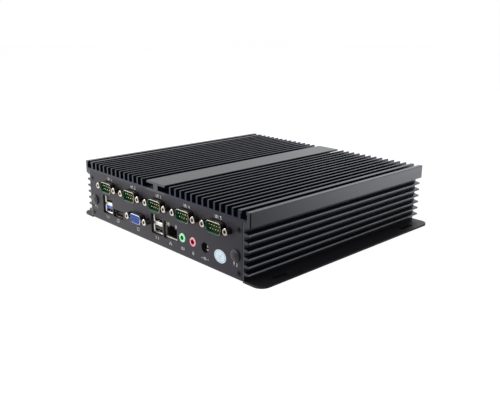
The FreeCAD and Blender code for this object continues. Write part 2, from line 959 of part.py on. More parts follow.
# Serial ports: shell, green insert with a cup in its nose and holes for its pins, and the pins
pin_rows = [(d_row_pitch / 2, upper_pin_count), (-d_row_pitch / 2, lower_pin_count)]
insert_face = front_out - d_shell_reach + d_plug_floor
body_back = front_in + d_flange_thickness + d_body_depth
serial_pins = []
for number, x in enumerate(serial_xs, 1):
    nodes["serial_shell_%d" % number] = d_shell_solid(x, serial_z, d_plug_width, d_plug_height)
    body = box(
        x - d_body_width / 2,
        x + d_body_width / 2,
        front_in + d_flange_thickness,
        body_back,
        serial_z - d_body_height / 2,
        serial_z + d_body_height / 2,
    )
    spots = []
    for rise, count in pin_rows:
        for i in range(count):
            spots.append((x + d_pin_pitch * (i - (count - 1) / 2), serial_z + rise))
    pin_hole = d_pin_radius + insert_gap
    pin_end = insert_face + d_pin_root
    holes = [rod_y(px, pz, pin_hole, insert_face - overcut, pin_end) for px, pz in spots]
    cup = bar_y(
        d_outline(x, serial_z, d_plug_width, d_plug_height, -insert_gap - d_cup_wall),
        insert_face - d_plug_floor,
        insert_face,
    )
    insert = joined([d_nose(x, serial_z, d_plug_width, d_plug_height, d_cup_setback), body])
    nodes["serial_insert_%d" % number] = less(insert, [cup] + holes)
    tip = front_out - d_shell_reach + d_pin_setback
    for px, pz in spots:
        pin = rod_y(px, pz, d_pin_radius, tip + d_pin_radius, pin_end)
        point = Part.makeSphere(d_pin_radius, V(px, tip + d_pin_radius, pz))
        serial_pins.append(joined([pin, point]))
nodes["serial_pins"] = Part.makeCompound(serial_pins)

# Ribbons from the serial ports down to sockets in headers on the board
ribbons = []
headers = []
ribbon_sockets = []
socket_bottom = board_top + header_floor
socket_top = socket_bottom + ribbon_socket_height
for x in serial_xs:
    half = ribbon_thickness / 2
    bend = ribbon_bend_radius
    ribbons.append(
        bar_x(
            [
                (body_back, serial_z - half, 0.0),
                (header_y - half, serial_z - half, bend - half),
                (header_y - half, socket_top, 0.0),
                (header_y + half, socket_top, 0.0),
                (header_y + half, serial_z + half, bend + half),
                (body_back, serial_z + half, 0.0),
            ],
            x - ribbon_width / 2,
            x + ribbon_width / 2,
        )
    )
    half_w = header_width / 2
    half_d = header_depth / 2
    shroud = box(
        x - half_w, x + half_w, header_y - half_d, header_y + half_d, board_top, board_top + header_height
    )
    hollow = box(
        x - half_w + header_wall,
        x + half_w - header_wall,
        header_y - half_d + header_wall,
        header_y + half_d - header_wall,
        socket_bottom,
        board_top + header_height + overcut,
    )
    headers.append(less(shroud, [hollow]))
    inset = header_wall + insert_gap
    ribbon_sockets.append(
        box(
            x - half_w + inset,
            x + half_w - inset,
            header_y - half_d + inset,
            header_y + half_d - inset,
            socket_bottom,
            socket_top,
        )
    )
nodes["serial_ribbons"] = Part.makeCompound(ribbons)
nodes["serial_headers"] = Part.makeCompound(headers)
nodes["ribbon_sockets"] = Part.makeCompound(ribbon_sockets)

# Jackscrews: hexagonal heads against the connector wall, threaded inside for a plug's screws
jackscrews = []
for x, z in jackscrew_spots:
    front = front_out - jackscrew_reach
    head = bar_y(hexagon(x, z, jackscrew_flats), front, front_out)
    corner = jackscrew_flats / math.sqrt(3)
    cone_length = jackscrew_reach + corner - jackscrew_flats / 2 + jackscrew_chamfer
    turned = Part.makeCone(
        jackscrew_flats / 2 - jackscrew_chamfer,
        jackscrew_flats / 2 - jackscrew_chamfer + cone_length,
        cone_length,
        V(x, front, z),
        V(0, 1, 0),
    )
    stud = rod_y(x, z, jackscrew_stud_radius, front_out, front_out + jackscrew_stud_length)
    bore = rod_y(x, z, jackscrew_bore_radius, front - overcut, front + jackscrew_bore_depth)
    jackscrews.append(less(joined([head.common(turned), stud]), [bore]))
nodes["jackscrews"] = Part.makeCompound(jackscrews)

# Video port: socket shell and blue insert with three rows of holes
nodes["video_shell"] = d_shell_solid(video_x, video_z, d_socket_width, d_socket_height)
video_face = front_out - d_shell_reach + d_socket_floor
video_back = front_in + d_flange_thickness
video_holes = []
for row in range(video_row_count):
    stagger = video_stagger if row % 2 else -video_stagger
    for i in range(video_column_count):
        hole_x = video_x + video_hole_pitch * (i - (video_column_count - 1) / 2 + stagger)
        hole_z = video_z + video_row_pitch * ((video_row_count - 1) / 2 - row)
        video_holes.append(
            rod_y(hole_x, hole_z, video_hole_radius, video_face - overcut, video_face + video_hole_depth)
        )
video_body = box(
    video_x - d_flange_width / 2,
    video_x + d_flange_width / 2,
    front_out + jackscrew_stud_length + cutout_gap,
    video_back + video_body_depth,
    board_top,
    video_z + d_flange_height / 2,
)
video_neck = box(
    video_x - d_body_width / 2,
    video_x + d_body_width / 2,
    video_back,
    video_back + video_body_depth,
    board_top,
    video_z + d_flange_height / 2,
)
video_nose = d_nose(video_x, video_z, d_socket_width, d_socket_height, d_socket_floor)
nodes["video_insert"] = less(joined([video_nose, video_neck, video_body]), video_holes)


def usb_ports():
    """Heights of the lower and upper openings of a double port."""
    low = board_top + usb_shell
    high = board_top + usb_height - usb_shell - usb_port_height
    return [low, high]


def usb_shell_solid(x):
    """Folded can with two openings, each widened towards its front."""
    shell = bar_y(
        rectangle(x - usb_width / 2, x + usb_width / 2, board_top, board_top + usb_height, usb_shell),
        port_front,
        port_front + usb_depth,
    )
    half = usb_width / 2 - usb_shell
    y0 = port_front - overcut
    y1 = port_front + usb_lead_in
    y2 = port_front + usb_depth + overcut
    flare = usb_lead_in + overcut
    cuts = []
    x0 = x - half
    x1 = x + half
    for low in usb_ports():
        high = low + usb_port_height
        cuts.append(box(x0, x1, y0, y2, low, high))
        cuts.append(
            Part.makeWedge(x0 - flare, y0, low - flare, low, x0, x1 + flare, y1, high + flare, high, x1)
        )
    return less(shell, cuts)


def usb_tongue(x, z):
    """Moulded block at the back of one opening with its contact tongue."""
    back = port_front + usb_depth
    half = usb_width / 2 - usb_shell - insert_gap
    block = box(
        x - half, x + half, back - usb_block_depth, back, z + insert_gap, z + usb_port_height - insert_gap
    )
    top = z + usb_port_height - usb_tongue_drop
    blade = box(
        x - usb_tongue_width / 2,
        x + usb_tongue_width / 2,
        port_front + usb_tongue_setback,
        back - usb_block_depth / 2,
        top - usb_tongue_thickness,
        top,
    )
    return joined([block, blade])


# Double USB ports
nodes["usb3_shell"] = usb_shell_solid(usb3_x)
nodes["usb3_lower_tongue"] = usb_tongue(usb3_x, usb_ports()[0])
nodes["usb3_upper_tongue"] = usb_tongue(usb3_x, usb_ports()[1])
nodes["usb2_shell"] = usb_shell_solid(usb2_x)
nodes["usb2_tongues"] = Part.makeCompound([usb_tongue(usb2_x, z) for z in usb_ports()])


def hdmi_outline(inset):
    """Wide port outline with its two lower corners cut off."""
    half = hdmi_width / 2 - inset
    low = board_top + inset
    high = board_top + hdmi_height - inset
    cut = hdmi_corner_cut - inset * math.tan(math.radians(22.5))
    return [
        (hdmi_x - half, high, 0.0),
        (hdmi_x + half, high, 0.0),
        (hdmi_x + half, low + cut, 0.0),
        (hdmi_x + half - cut, low, 0.0),
        (hdmi_x - half + cut, low, 0.0),
        (hdmi_x - half, low + cut, 0.0),
    ]


# Slim digital video port
hdmi_back = port_front + hdmi_depth
nodes["hdmi_shell"] = less(
    bar_y(hdmi_outline(0.0), port_front, hdmi_back),
    [bar_y(hdmi_outline(hdmi_shell), port_front - overcut, hdmi_back + overcut)],
)
hdmi_z = board_top + hdmi_height / 2
nodes["hdmi_tongue"] = joined(
    [
        bar_y(hdmi_outline(hdmi_shell + insert_gap), hdmi_back - hdmi_block_depth, hdmi_back),
        box(
            hdmi_x - hdmi_tongue_width / 2,
            hdmi_x + hdmi_tongue_width / 2,
            port_front + hdmi_tongue_setback,
            hdmi_back - hdmi_block_depth / 2,
            hdmi_z - hdmi_tongue_thickness / 2,
            hdmi_z + hdmi_tongue_thickness / 2,
        ),
    ]
)

# Network jack: plated can, moulded body with its mouth and latch notch, contacts and lamps
lan_left = lan_x - lan_width / 2
lan_right = lan_x + lan_width / 2
lan_top = board_top + lan_height
lan_back = port_front + lan_depth
lan_front = port_front - lan_shell
nodes["lan_shell"] = less(
    box(lan_left, lan_right, lan_front, lan_back, board_top, lan_top),
    [
        box(
            lan_left + lan_shell,
            lan_right - lan_shell,
            port_front,
            lan_back - lan_shell,
            board_top + lan_shell,
            lan_top - lan_shell,
        ),
        box(
            lan_left + lan_lip_width,
            lan_right - lan_lip_width,
            lan_front - overcut,
            port_front + overcut,
            board_top + lan_lip_height,
            lan_top - lan_shell,
        ),
    ],
)
lan_inset = lan_shell + insert_gap
mouth_low = board_top + lan_mouth_rise
mouth_high = mouth_low + lan_mouth_height
mouth_half = lan_mouth_width / 2
mouth_back = port_front + lan_mouth_depth
contact_run = lan_contact_length
contact_front = mouth_back - contact_run
lamp_out = lan_width / 2 - lan_inset
lamp_top = lan_top - lan_inset
lan_lamps = []
lamp_pockets = []
for side in (-1, 1):
    x0, x1 = sorted((lan_x + side * lamp_out, lan_x + side * (lamp_out - lan_lamp_width)))
    lan_lamps.append(
        box(x0, x1, port_front, port_front + lan_lamp_depth, lamp_top - lan_lamp_height, lamp_top)
    )
    pocket_in = lamp_out - lan_lamp_width - insert_gap
    p0, p1 = sorted((lan_x + side * (lamp_out + overcut), lan_x + side * pocket_in))
    lamp_pockets.append(
        box(
            p0,
            p1,
            port_front - overcut,
            port_front + lan_lamp_depth + insert_gap,
            lamp_top - lan_lamp_height - insert_gap,
            lamp_top + overcut,
        )
    )
lan_contacts = []
contact_slots = []
for i in range(lan_contact_count):
    x = lan_x + lan_contact_pitch * (i - (lan_contact_count - 1) / 2)
    start = V(x, contact_front, mouth_low + lan_contact_radius + insert_gap)
    rise = V(0, contact_run, lan_contact_lift)
    lan_contacts.append(Part.makeCylinder(lan_contact_radius, rise.Length, start, rise))
    contact_slots.append(
        Part.makeCylinder(lan_contact_radius + insert_gap, rise.Length + overcut, start, rise)
    )
lan_body = box(
    lan_left + lan_inset,
    lan_right - lan_inset,
    port_front,
    lan_back - lan_inset,
    board_top + lan_inset,
    lamp_top,
)
lan_mouth = box(
    lan_x - mouth_half, lan_x + mouth_half, port_front - overcut, mouth_back, mouth_low, mouth_high
)
lan_notch = box(
    lan_x - lan_notch_width / 2,
    lan_x + lan_notch_width / 2,
    port_front - overcut,
    mouth_back,
    mouth_high - overcut,
    mouth_high + lan_notch_height,
)
nodes["lan_body"] = less(lan_body, [joined([lan_mouth, lan_notch])] + lamp_pockets + contact_slots)
nodes["lan_contacts"] = Part.makeCompound(lan_contacts)
nodes["lan_lamps"] = Part.makeCompound(lan_lamps)


def audio_jack(x):
    """Coloured moulded jack whose round nose comes through the connector wall."""
    body = box(
        x - audio_width / 2,
        x + audio_width / 2,
        port_front,
        port_front + audio_depth,
        board_top,
        board_top + audio_height,
    )
    nose_front = front_out - audio_nose_proud
    nose = rod_y(x, audio_z, audio_nose_radius, nose_front, port_front + overcut)
    nose = nose.makeFillet(
        audio_nose_round, [e for e in nose.Edges if e.BoundBox.YMax < nose_front + audio_nose_round]
    )
    bore = rod_y(x, audio_z, audio_bore_radius, nose_front - overcut, nose_front + audio_bore_depth)
    return less(joined([body, nose]), [bore])


# Audio jacks
nodes["speaker_jack"] = audio_jack(audio_x)
nodes["microphone_jack"] = audio_jack(microphone_x)

# Round power inlet with its centre pin and a leaf contact
bore_back = port_front + inlet_bore_depth
inlet_block = box(
    inlet_x - inlet_width / 2,
    inlet_x + inlet_width / 2,
    port_front,
    port_front + inlet_depth,
    board_top,
    board_top + inlet_height,
)
pin_back = bore_back + inlet_pin_root
nodes["inlet_body"] = less(
    inlet_block,
    [
        rod_y(inlet_x, inlet_z, inlet_bore_radius, port_front - overcut, bore_back),
        rod_y(inlet_x, inlet_z, inlet_pin_radius + insert_gap, bore_back - overcut, pin_back),
    ],
)
inlet_pin = rod_y(inlet_x, inlet_z, inlet_pin_radius, port_front + inlet_pin_setback, pin_back)
leaf_radius = math.sqrt((inlet_bore_radius - inlet_leaf_gap) ** 2 - (inlet_leaf_width / 2) ** 2)
leaf_front = port_front + inlet_leaf_setback
leaf_low = inlet_z - leaf_radius
leaf_high = leaf_low + inlet_leaf_thickness
inlet_leaf = bar_x(
    [
        (leaf_front, leaf_low, 0.0),
        (bore_back, leaf_low, 0.0),
        (bore_back, leaf_high, 0.0),
        (leaf_front + inlet_leaf_chamfer, leaf_high, 0.0),
        (leaf_front, leaf_high - inlet_leaf_chamfer, 0.0),
    ],
    inlet_x - inlet_leaf_width / 2,
    inlet_x + inlet_leaf_width / 2,
)
nodes["inlet_contacts"] = Part.makeCompound([inlet_pin, inlet_leaf])

# Domed plugs snapped into the antenna holes
plugs = []
dome_foot = front_out - plug_rim_height
dome_tip = dome_foot - plug_dome_height
dome_radius = (plug_radius ** 2 + plug_dome_height ** 2) / (2 * plug_dome_height)
for x in (-plug_x, plug_x):
    ball = Part.makeSphere(dome_radius, V(x, dome_tip + dome_radius, plug_centre_height))
    dome = ball.common(rod_y(x, plug_centre_height, plug_radius + overcut, dome_tip - overcut, dome_foot))
    rim = rod_y(x, plug_centre_height, plug_radius, dome_foot, front_out)
    stem = rod_y(x, plug_centre_height, plug_stem_radius, front_out, front_in + plug_barb_thickness)
    barb = rod_y(x, plug_centre_height, plug_barb_radius, front_in, front_in + plug_barb_thickness)
    plugs.append(joined([dome, rim, stem, barb]))
nodes["antenna_plugs"] = Part.makeCompound(plugs)

# Oval inspection label on the connector wall
oval = Part.Ellipse(V(0, 0, 0), label_width / 2, label_height / 2)
oval_face = Part.Face(Part.Wire([oval.toShape()]))
oval_face.rotate(V(0, 0, 0), V(1, 0, 0), 90)
oval_face.translate(V(label_x, front_out, label_centre_height))
nodes["inspection_label"] = oval_face.extrude(V(0, -label_thickness, 0))

# Power switch on the rear wall: bezel with barrel, nut behind the wall, and the button in its bore
bezel_face = end_out + switch_bezel_thickness
bore_depth = button_length - button_proud + button_travel + button_stop_gap
bore_radius = button_radius + button_gap
nodes["switch_body"] = less(
    joined(
        [
            rod_y(button_x, button_height, switch_bezel_radius, end_out, bezel_face),
            rod_y(button_x, button_height, switch_barrel_radius, end_in - switch_barrel_length, bezel_face),
        ]
    ),
    [rod_y(button_x, button_height, bore_radius, bezel_face - bore_depth, bezel_face + overcut)],
)
nut_front = end_in - switch_nut_thickness
nut_bore = switch_barrel_radius + screw_gap
nodes["switch_nut"] = less(
    bar_y(hexagon(button_x, button_height, switch_nut_flats), nut_front, end_in),
    [rod_y(button_x, button_height, nut_bore, nut_front - overcut, end_in + overcut)],
)
button_face = bezel_face + button_proud
button = rod_y(button_x, button_height, button_radius, button_face - button_length, button_face)
button_rim = [e for e in button.Edges if e.isClosed() and abs(e.CenterOfMass.y - button_face) < 1e-6]
nodes["power_button"] = button.makeFillet(button_edge_round, button_rim)

# Indicator lamps pressed into the rear wall from inside
lamps = []
for x in lamp_xs:
    lens = rod_y(x, button_height, lamp_radius, end_in, end_out + lamp_proud - lamp_radius / 2)
    crown = Part.makeSphere(lamp_radius, V(x, end_out + lamp_proud - lamp_radius, button_height))
    collar = rod_y(x, button_height, lamp_flange_radius, end_in - lamp_flange_thickness, end_in)
    lamps.append(joined([lens, crown, collar]))
nodes["indicator_lamps"] = Part.makeCompound(lamps)

os.makedirs("parts", exist_ok=True)
for name, shape in nodes.items():
    shape.exportStep("parts/%s.step" % name)
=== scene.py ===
import math

import bpy
from mathutils import Matrix, Vector


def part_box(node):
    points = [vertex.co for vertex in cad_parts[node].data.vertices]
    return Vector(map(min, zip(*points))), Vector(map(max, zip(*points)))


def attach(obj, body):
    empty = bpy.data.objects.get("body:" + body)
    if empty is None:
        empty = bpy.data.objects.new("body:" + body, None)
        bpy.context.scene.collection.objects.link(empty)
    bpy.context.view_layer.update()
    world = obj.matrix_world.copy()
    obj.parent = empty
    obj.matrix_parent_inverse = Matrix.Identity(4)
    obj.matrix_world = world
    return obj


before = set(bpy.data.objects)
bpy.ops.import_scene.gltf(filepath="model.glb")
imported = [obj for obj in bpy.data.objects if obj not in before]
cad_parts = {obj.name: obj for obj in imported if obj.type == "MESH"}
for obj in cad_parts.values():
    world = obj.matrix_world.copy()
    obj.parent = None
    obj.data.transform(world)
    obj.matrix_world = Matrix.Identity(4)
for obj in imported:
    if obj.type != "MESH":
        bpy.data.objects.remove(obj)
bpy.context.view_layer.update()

# Base tray: one sheet of steel, punched, folded up at both ends and left flat as an ear on each side.
# It is powder coated in a black with fine orange peel, baked on before anything is fitted.


class Tone:
    """One socket of a node tree; sums and products of tones become Math nodes."""

    def __init__(self, tree, socket=None):
        self.tree = tree
        self.socket = socket

    def node(self, kind, settings, sockets, out=0):
        """Adds a node, sets it up, fills its sockets with values or links, and gives one output."""
        made = self.tree.nodes.new(kind)
        for name, value in settings.items():
            setattr(made, name, value)
        for name, value in sockets.items():
            if isinstance(value, Tone):
                self.tree.links.new(value.socket, made.inputs[name])
            else:
                made.inputs[name].default_value = value
        return Tone(self.tree, made.outputs[out]) if made.outputs else None

    def reckon(self, operation, *terms):
        return self.node("ShaderNodeMath", {"operation": operation}, dict(enumerate(terms)))

    def __add__(self, other):
        return self.reckon("ADD", self, other)

    def __sub__(self, other):
        return self.reckon("SUBTRACT", self, other)

    def __rsub__(self, other):
        return self.reckon("SUBTRACT", other, self)

    def __mul__(self, other):
        return self.reckon("MULTIPLY", self, other)

    def __gt__(self, other):
        return self.reckon("GREATER_THAN", self, other)

    def __lt__(self, other):
        return self.reckon("LESS_THAN", self, other)

    __radd__ = __add__
    __rmul__ = __mul__


def start_finish(name):
    """A material with an empty tree, and the Object coordinates of its surface."""
    material = bpy.data.materials.new(name)
    material.use_nodes = True
    material.node_tree.nodes.clear()
    return material, Tone(material.node_tree).node("ShaderNodeTexCoord", {}, {}, "Object")


def show(shader):
    """Puts a shader on the surface, which ends a finish."""
    shader.node("ShaderNodeOutputMaterial", {}, {"Surface": shader})


def end_finish(point, sockets):
    show(point.node("ShaderNodeBsdfPrincipled", {}, sockets))


def grains(point, size, stretch=(1.0, 1.0, 1.0), detail=2.0):
    """Soft noise between 0 and 1 with spots of about that size, longer along an axis by its stretch."""
    scale = [1.0 / (size * s) for s in stretch]
    spread = point.node("ShaderNodeVectorMath", {"operation": "MULTIPLY"}, {0: point, 1: scale})
    return point.node("ShaderNodeTexNoise", {}, {"Vector": spread, "Scale": 1.0, "Detail": detail})


def tint(mask, low, high):
    """Colour that goes from low to high as the mask goes from 0 to 1."""
    ends = [c if isinstance(c, Tone) else (*c, 1.0) for c in (low, high)]
    return mask.node("ShaderNodeMix", {"data_type": "RGBA"}, {0: mask, 6: ends[0], 7: ends[1]}, 2)


def relief(height, depth):
    """Normal of a surface whose bumps are that deep."""
    return height.node("ShaderNodeBump", {}, {"Height": height, "Distance": depth, "Strength": 1.0})


def dress(material, *names):
    """Puts a finish on CAD nodes."""
    for name in names:
        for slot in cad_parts[name].material_slots:
            slot.material = material


powder_black, point = start_finish("powder_black")
peel = grains(point, 0.0008)
mottle = grains(point, 0.0026, detail=5.0)
end_finish(
    point,
    {
        "Base Color": tint(mottle, (0.0160, 0.0147, 0.0188), (0.0254, 0.0236, 0.0290)),
        "Roughness": 0.40 + 0.16 * mottle,
        "Specular IOR Level": 0.42,
        "Specular Tint": (0.96, 0.92, 1.0, 1.0),
        "Normal": relief(peel, 0.00003),
    },
)
dress(powder_black, "base_tray")

# Standoffs and screws under the board: hexagonal steel posts pressed into the tray's floor, and pan
# screws. Both are zinc plated, bright with a faint blue and fine marks from their turning.


def place_along(point, axis):
    """One coordinate of a point."""
    return point.node("ShaderNodeSeparateXYZ", {}, {"Vector": point}, axis)


def ramp(value, start, end):
    """0 up to start, 1 past end, and even between them."""
    return value.node("ShaderNodeMapRange", {}, {"Value": value, "From Min": start, "From Max": end})


def plated(name, colour, roughness, streak=(1.0, 1.0, 1.0), bright_until=None, bright_from=None):
    """Bright plated metal with fine marks and painted shade outside the given stretch along y."""
    shade_fade_width = 0.0009
    shade_waver = 0.0006
    dull = [c * 0.72 for c in colour]
    painted_shade = [c * 0.20 for c in colour]
    material, point = start_finish(name)
    marks = grains(point, 0.0003, streak, detail=3.0)
    cloud = grains(point, 0.004)
    base = tint(cloud, dull, colour)
    # Outside the bright stretch the colour is painted shade, standing in for the metal's shaded sides.
    if bright_until is not None:
        depth = place_along(point, "Y")
        shade_mask = ramp(depth + shade_waver * cloud, bright_until, bright_until + shade_fade_width)
        base = tint(shade_mask, base, painted_shade)
        if bright_from is not None:
            base = tint(depth < bright_from, base, painted_shade)
    end_finish(
        point,
        {
            "Base Color": base,
            "Metallic": 1.0,
            "Roughness": roughness * (0.6 + 0.8 * marks),
            "Normal": relief(marks, 0.000006),
        },
    )
    return material


zinc_plate = plated("zinc_plate", (0.70, 0.72, 0.74), 0.32)
dress(zinc_plate, "board_standoffs", "board_screws", "heat_block_screws")

# Main board: glass laminate under green solder resist, screwed to the standoffs.
# Copper tracks show through the resist as slightly lighter, raised lines.

resist_low = (0.004, 0.030, 0.012)
resist_high = (0.012, 0.085, 0.034)


def tracks(point, width):
    """Mask of square-cornered tracks, 1 on the copper."""
    spread = point.node("ShaderNodeVectorMath", {"operation": "SCALE"}, {0: point, "Scale": 1.0 / width})
    return point.node(
        "ShaderNodeTexBrick",
        {"offset": 0.37, "squash": 0.6, "squash_frequency": 3},
        {"Vector": spread, "Scale": 1.0, "Mortar Size": 0.09, "Brick Width": 2.3, "Row Height": 0.7},
        "Fac",
    )


board_green, point = start_finish("board_green")
copper = tracks(point, 0.0016)
cloud = grains(point, 0.006)
end_finish(
    point,
    {
        "Base Color": tint(copper * 0.7 + 0.3 * cloud, resist_low, resist_high),
        "Roughness": 0.28 + 0.2 * cloud,
        "Normal": relief(copper, 0.00003),
    },
)
dress(board_green, "main_board")

# Processor, its soft thermal pad, and the aluminium block that carries its heat to the lid.
# The block is milled all over, and the cap of the processor is nickel plated.

dress(plated("nickel_cap", (0.62, 0.60, 0.56), 0.28), "processor")

pad_grey, point = start_finish("pad_grey")
crumb = grains(point, 0.0005, detail=4.0)
end_finish(
    point,
    {
        "Base Color": tint(crumb, (0.13, 0.15, 0.17), (0.24, 0.26, 0.28)),
        "Roughness": 0.75 + 0.2 * crumb,
        "Normal": relief(crumb, 0.00005),
    },
)
dress(pad_grey, "thermal_pad")
dress(plated("milled_aluminium", (0.80, 0.81, 0.82), 0.36, streak=(14.0, 1.0, 1.0)), "heat_block")

# Memory and storage cards: thin green laminate with black moulded chips in a row on top.
# Each is pushed into a black socket on the board, and the storage card rests on a brass post.


def moulded(name, colour, roughness=0.42, sheen=0.12, gloss=0.5):
    """Moulded plastic: even colour, fine spark-eroded grain, slightly uneven gloss."""
    deep = [c * 0.78 for c in colour]
    material, point = start_finish(name)
    grain = grains(point, 0.00025, detail=3.0)
    flow = grains(point, 0.005)
    end_finish(
        point,
        {
            "Base Color": tint(flow, deep, colour),
            "Roughness": roughness + sheen * (grain - 0.5),
            "Specular IOR Level": gloss,
            "Normal": relief(grain, 0.00001),
        },
    )
    return material


def card_finish(name, card_top):
    """Green laminate up to card_top, and black moulded chips above it."""
    material, point = start_finish(name)
    copper = tracks(point, 0.0009)
    chip = place_along(point, "Z") > card_top
    grain = grains(point, 0.0003)
    laminate = tint(copper, resist_low, resist_high)
    end_finish(
        point,
        {
            "Base Color": tint(chip, laminate, (0.014, 0.014, 0.015)),
            "Roughness": 0.3 + 0.25 * chip + 0.1 * grain,
            "Normal": relief(copper * (1.0 - chip) + grain * chip, 0.00002),
        },
    )
    return material


chip_height = 0.00109
for card in ("memory_card", "storage_card"):
    dress(card_finish(card + "_laminate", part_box(card)[1].z - chip_height), card)
socket_black = moulded("socket_black", (0.016, 0.016, 0.017))
dress(socket_black, "memory_socket", "storage_socket", "cell_holder", "serial_headers", "ribbon_sockets")
dress(plated("post_brass", (0.74, 0.58, 0.28), 0.25), "storage_post")
dress(plated("cell_steel", (0.66, 0.65, 0.63), 0.22), "clock_cell")

# Serial ports: drawn steel shells, tin plated over copper, riveted behind the wall to a green insert.
# Nine gold pins stand in each insert, and a grey ribbon runs from its back to a header on the board.

serial_ports = [1, 2, 3, 4, 5]
port_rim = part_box("serial_shell_1")[0].y
shaded_front_edge = port_rim + 0.00004
cup_foot = port_rim + 0.0030
# Painted shade: the shells' sides behind a bright band at the rim, and their thin front edge.
shell_plate = plated(
    "shell_plate", (0.86, 0.80, 0.68), 0.24, bright_until=port_rim + 0.0007, bright_from=shaded_front_edge
)
dress(shell_plate, *["serial_shell_%d" % n for n in serial_ports])

# Painted shade: the cup's floor behind cup_foot is darker than its walls. The warm gloss tint is a
# painted reflection of warm surroundings.
serial_green, point = start_finish("serial_green")
grain = grains(point, 0.00025, detail=3.0)
walls = tint(grains(point, 0.005), (0.006, 0.076, 0.040), (0.008, 0.098, 0.052))
end_finish(
    point,
    {
        "Base Color": tint(place_along(point, "Y") > cup_foot, walls, (0.008, 0.026, 0.006)),
        "Roughness": 0.36 + 0.12 * grain,
        "Specular IOR Level": 0.38,
        "Specular Tint": (1.0, 0.78, 0.20, 1.0),
        "Normal": relief(grain, 0.00001),
    },
)
dress(serial_green, *["serial_insert_%d" % n for n in serial_ports])
dress(plated("pin_gold", (1.0, 0.96, 0.72), 0.22), "serial_pins")

ribbon_pitch = 0.00127
ribbon_grey, point = start_finish("ribbon_grey")
across = place_along(point, "X")
ridge = 0.5 + 0.5 * across.reckon("COSINE", across * (2 * math.pi / ribbon_pitch))
# Painted shade: the grooves between the ridges are darker in colour than the ridges.
end_finish(
    point,
    {
        "Base Color": tint(ridge, (0.16, 0.16, 0.16), (0.36, 0.36, 0.35)),
        "Roughness": 0.45 + 0.15 * grains(point, 0.001),
        "Normal": relief(ridge, 0.0003),
    },
)
dress(ribbon_grey, "serial_ribbons")

# Jackscrews: hexagonal nickel-plated screws that hold each D-shaped port to the wall.
# Their heads are tapped with a fine thread for the screws of a plug.


def middle_of(node):
    low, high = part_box(node)
    return (low + high) / 2


def start_tree(name, sizes):
    """A Geometry Nodes tree with named sizes, and its group input as a tone on the geometry."""
    tree = bpy.data.node_groups.new(name, "GeometryNodeTree")
    tree.interface.new_socket("Geometry", in_out="INPUT", socket_type="NodeSocketGeometry")
    for size in sizes:
        tree.interface.new_socket(size, in_out="INPUT", socket_type="NodeSocketFloat")
    tree.interface.new_socket("Geometry", in_out="OUTPUT", socket_type="NodeSocketGeometry")
    return Tone(tree).node("NodeGroupInput", {}, {}, "Geometry")


def size_of(start, name):
    return Tone(start.tree, start.socket.node.outputs[name])


def end_tree(geometry, material):
    """Makes the geometry real, dresses it and closes the tree."""
    real = geometry.node("GeometryNodeRealizeInstances", {}, {"Geometry": geometry})
    dressed = real.node("GeometryNodeSetMaterial", {}, {"Geometry": real, "Material": material})
    dressed.node("NodeGroupOutput", {}, {"Geometry": dressed})
    return dressed.tree


def grown(name, points, edges, tree, sizes):
    """Object at the origin holding the plain mesh that the tree makes from these points and edges."""
    mesh = bpy.data.meshes.new(name)
    mesh.from_pydata(points, edges, [])
    piece = bpy.data.objects.new(name, mesh)
    bpy.context.scene.collection.objects.link(piece)
    modifier = piece.modifiers.new("growth", "NODES")
    modifier.node_group = tree
    for item in tree.interface.items_tree:
        if item.in_out == "INPUT" and item.name in sizes:
            modifier[item.identifier] = sizes[item.name]
    graph = bpy.context.evaluated_depsgraph_get()
    plain = bpy.data.meshes.new_from_object(piece.evaluated_get(graph))
    piece.modifiers.remove(modifier)
    piece.data = plain
    return piece


# Painted shade: the jackscrews' sides are dark in colour behind their bright front.
jackscrew_nickel = plated("jackscrew_nickel", (0.78, 0.72, 0.64), 0.24, bright_until=port_rim + 0.0006)
dress(jackscrew_nickel, "jackscrews")

start = start_tree("bore_thread", ["Radius", "Ridge", "Depth", "Turns"])
spiral = start.node(
    "GeometryNodeCurveSpiral",
    {},
    {
        "Resolution": 20,
        "Rotations": size_of(start, "Turns"),
        "Start Radius": size_of(start, "Radius"),
        "End Radius": size_of(start, "Radius"),
        "Height": size_of(start, "Depth"),
    },
)
crest = start.node(
    "GeometryNodeCurvePrimitiveCircle", {}, {"Resolution": 3, "Radius": size_of(start, "Ridge")}
)
ridges = start.node(
    "GeometryNodeCurveToMesh", {}, {"Curve": spiral, "Profile Curve": crest, "Fill Caps": True}
)
threads = start.node(
    "GeometryNodeInstanceOnPoints",
    {},
    {"Points": start, "Instance": ridges, "Rotation": (-math.pi / 2, 0.0, 0.0)},
)
thread_tree = end_tree(threads, plated("thread_bronze", (0.80, 0.56, 0.42), 0.30))

serial_middles = [middle_of("serial_shell_%d" % n) for n in serial_ports]
jackscrew_pitch = 0.02499
thread_lead = 0.0003
thread_sizes = {"Radius": 0.00147, "Ridge": 0.00019, "Depth": 0.0034, "Turns": 5.5}
thread_points = [
    (middle.x + side * jackscrew_pitch / 2, port_rim + thread_lead, middle.z)
    for middle in serial_middles + [middle_of("video_shell")]
    for side in (-1, 1)
]
jackscrew_threads = grown("jackscrew_threads", thread_points, [], thread_tree, thread_sizes)
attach(jackscrew_threads, "case")

# Video port: a drawn shell like the serial ports' around a blue moulded insert.
# The insert has three rows of socket holes, and two jackscrews hold the port to the wall.

# Painted shade: the video shell is dark in colour more than 1.1 mm behind its rim.
dress(plated("video_plate", (0.80, 0.82, 0.92), 0.24, bright_until=port_rim + 0.0011), "video_shell")
dress(moulded("port_blue", (0.046, 0.098, 0.360), roughness=0.45, gloss=0.25), "video_insert")

# Double USB ports: folded tin-plated cans, each with two tongues of moulded plastic.
# Gold strips lie under the tongues and turn up over their noses, and leaf springs rise from the
# cans' floors.

